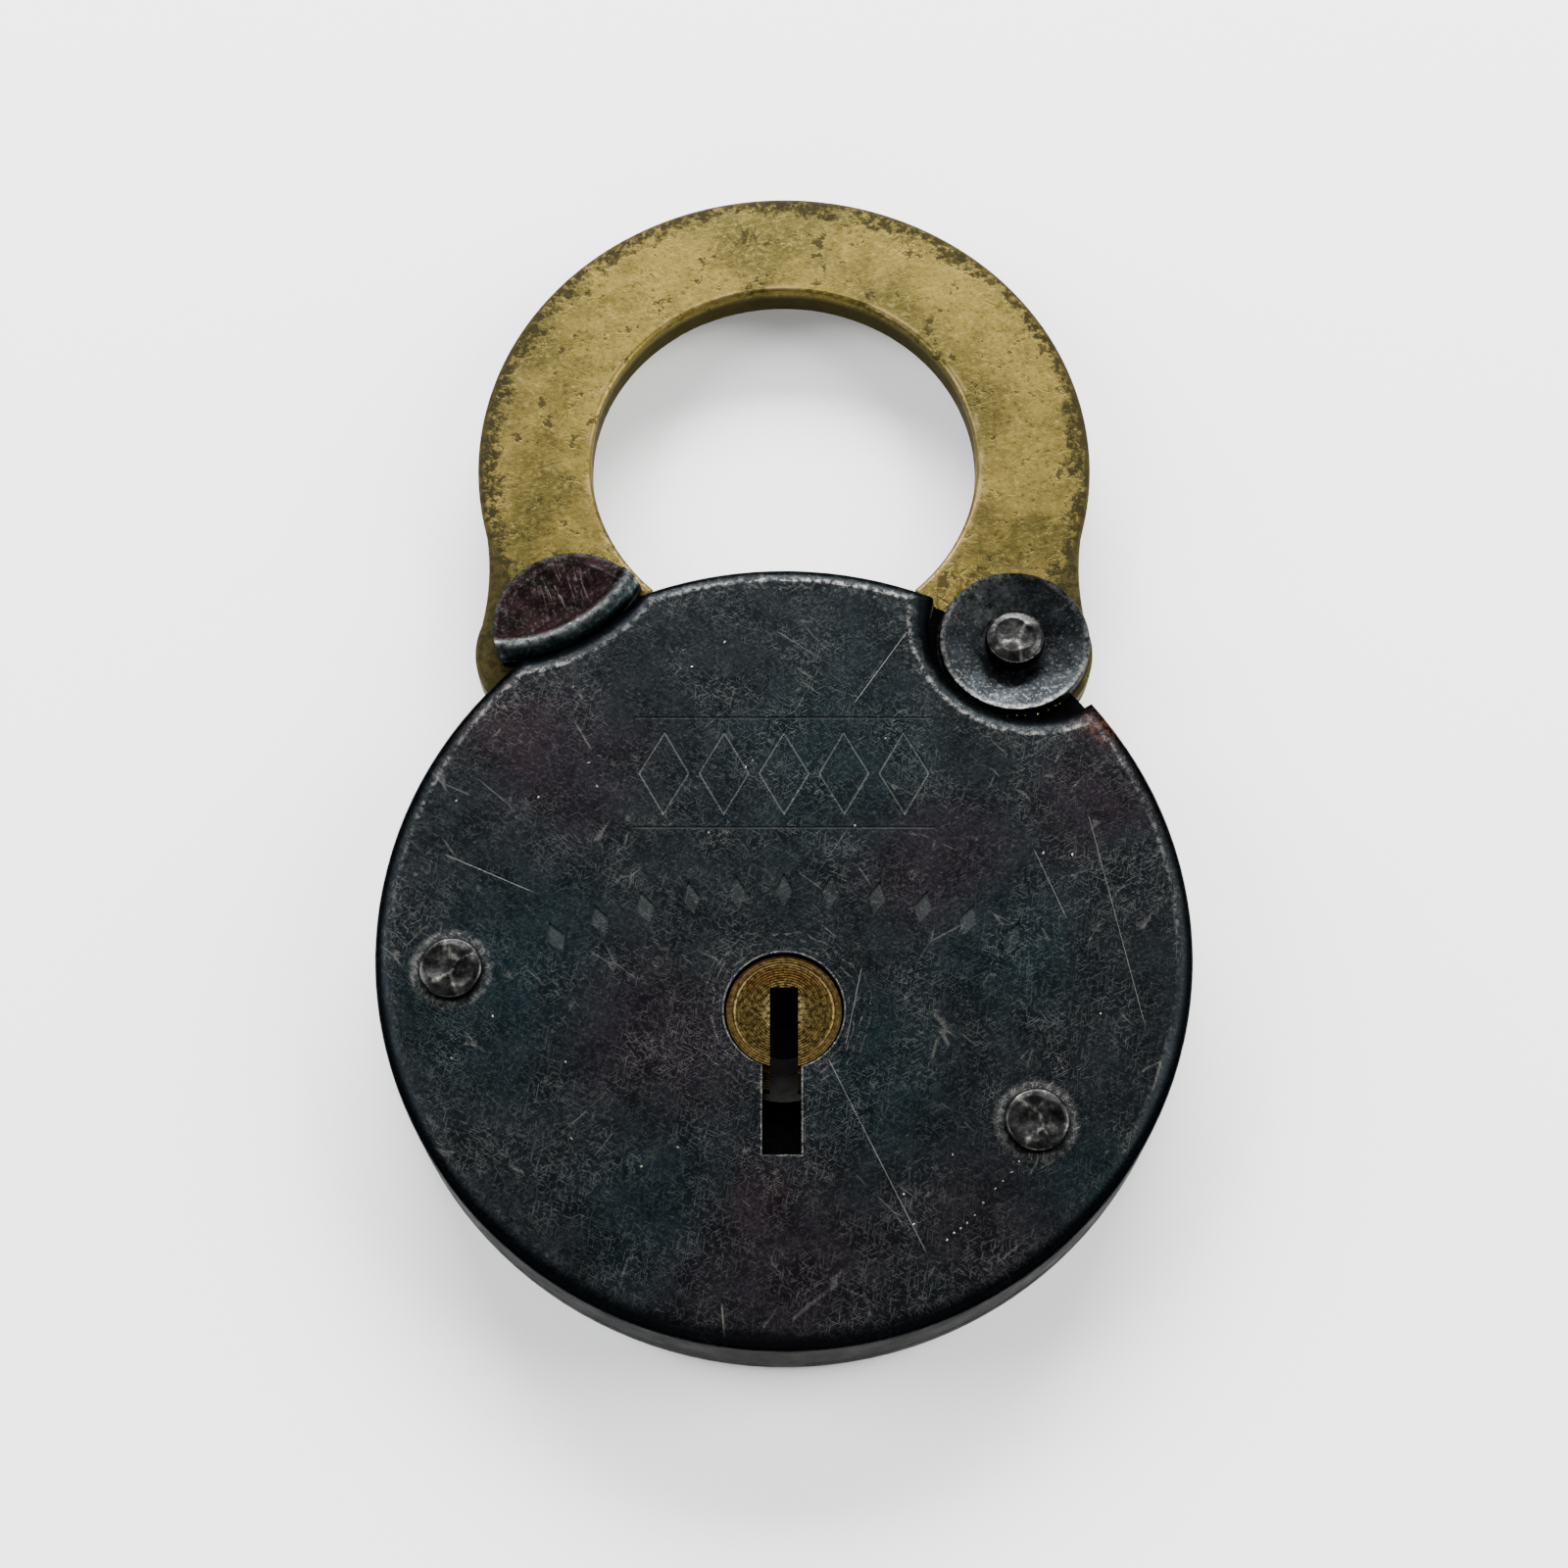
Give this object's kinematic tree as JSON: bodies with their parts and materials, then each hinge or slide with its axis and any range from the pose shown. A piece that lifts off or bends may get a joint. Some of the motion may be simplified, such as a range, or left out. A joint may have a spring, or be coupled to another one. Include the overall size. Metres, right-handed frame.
{
  "type": "disc padlock",
  "caption": "Disc-shaped lever padlock with a flat brass shackle that swings on a riveted ear, a slotted key drum, a sliding bolt and a lever pack.",
  "frame": {"origin": "centre of the disc on its flat back face", "axes": "+X to the right, +Y towards the shackle, +Z out of the face with the keyhole"},
  "size_m": [0.0762, 0.1211, 0.0124],
  "materials": {
    "blued_steel": "heat-blued, worn satin",
    "dark_steel": "blackened, hammered",
    "aged_brass": "aged, tarnished at the edges",
    "drum_brass": "turned, worn",
    "plain_steel": "bare, oiled",
    "lever_brass": "stamped, dull",
    "spring_steel": "blue tempered"
  },
  "bodies": {
    "case": {"back_shell": "blued_steel", "front_shell": "blued_steel", "ear_plate": "blued_steel", "pivot_rivet": "dark_steel", "left_rivet": "dark_steel", "right_rivet": "dark_steel", "right_spacer": "plain_steel", "lever_bush": "plain_steel", "drum_bush": "drum_brass", "upper_guide_pin": "dark_steel", "lower_guide_pin": "plain_steel", "crown_pillar": "plain_steel", "spring_stop": "plain_steel"},
    "shackle": {"shackle": "aged_brass"},
    "drum": {"key_drum": "drum_brass", "drum_plate": "plain_steel"},
    "bolt": {"bolt": "plain_steel", "bolt_stump": "plain_steel"},
    "lever_1": {"lever_1": "lever_brass", "lever_spring_1": "spring_steel"},
    "lever_2": {"lever_2": "lever_brass", "lever_spring_2": "spring_steel"},
    "lever_3": {"lever_3": "lever_brass", "lever_spring_3": "spring_steel"},
    "lever_4": {"lever_4": "lever_brass", "lever_spring_4": "spring_steel"}
  },
  "joints": [
    {"name": "shackle_hinge", "type": "hinge", "parent": "case", "child": "shackle", "pos_m": [0.0225, 0.03075, 0.00535], "axis": [0, 0, -1], "range_deg": [0, 90]},
    {"name": "drum_turn", "type": "hinge", "parent": "case", "child": "drum", "pos_m": [0, -0.0073, 0.002], "axis": [0, 0, 1], "continuous": true},
    {"name": "bolt_slide", "type": "slide", "parent": "case", "child": "bolt", "axis": [-1, 0, 0], "range_m": [0, 0.005]},
    {"name": "lever_1_lift", "type": "hinge", "parent": "case", "child": "lever_1", "pos_m": [-0.03071, -0.00339, 0.0085], "axis": [0, 0, 1], "range_deg": [-2.5, 1.5], "deforming": ["lever_spring_1"]},
    {"name": "lever_2_lift", "type": "hinge", "parent": "case", "child": "lever_2", "pos_m": [-0.03071, -0.00339, 0.0085], "axis": [0, 0, 1], "range_deg": [-2.5, 1.5], "deforming": ["lever_spring_2"]},
    {"name": "lever_3_lift", "type": "hinge", "parent": "case", "child": "lever_3", "pos_m": [-0.03071, -0.00339, 0.0085], "axis": [0, 0, 1], "range_deg": [-2.5, 1.5], "deforming": ["lever_spring_3"]},
    {"name": "lever_4_lift", "type": "hinge", "parent": "case", "child": "lever_4", "pos_m": [-0.03071, -0.00339, 0.0085], "axis": [0, 0, 1], "range_deg": [-2.5, 1.5], "deforming": ["lever_spring_4"]}
  ]
}
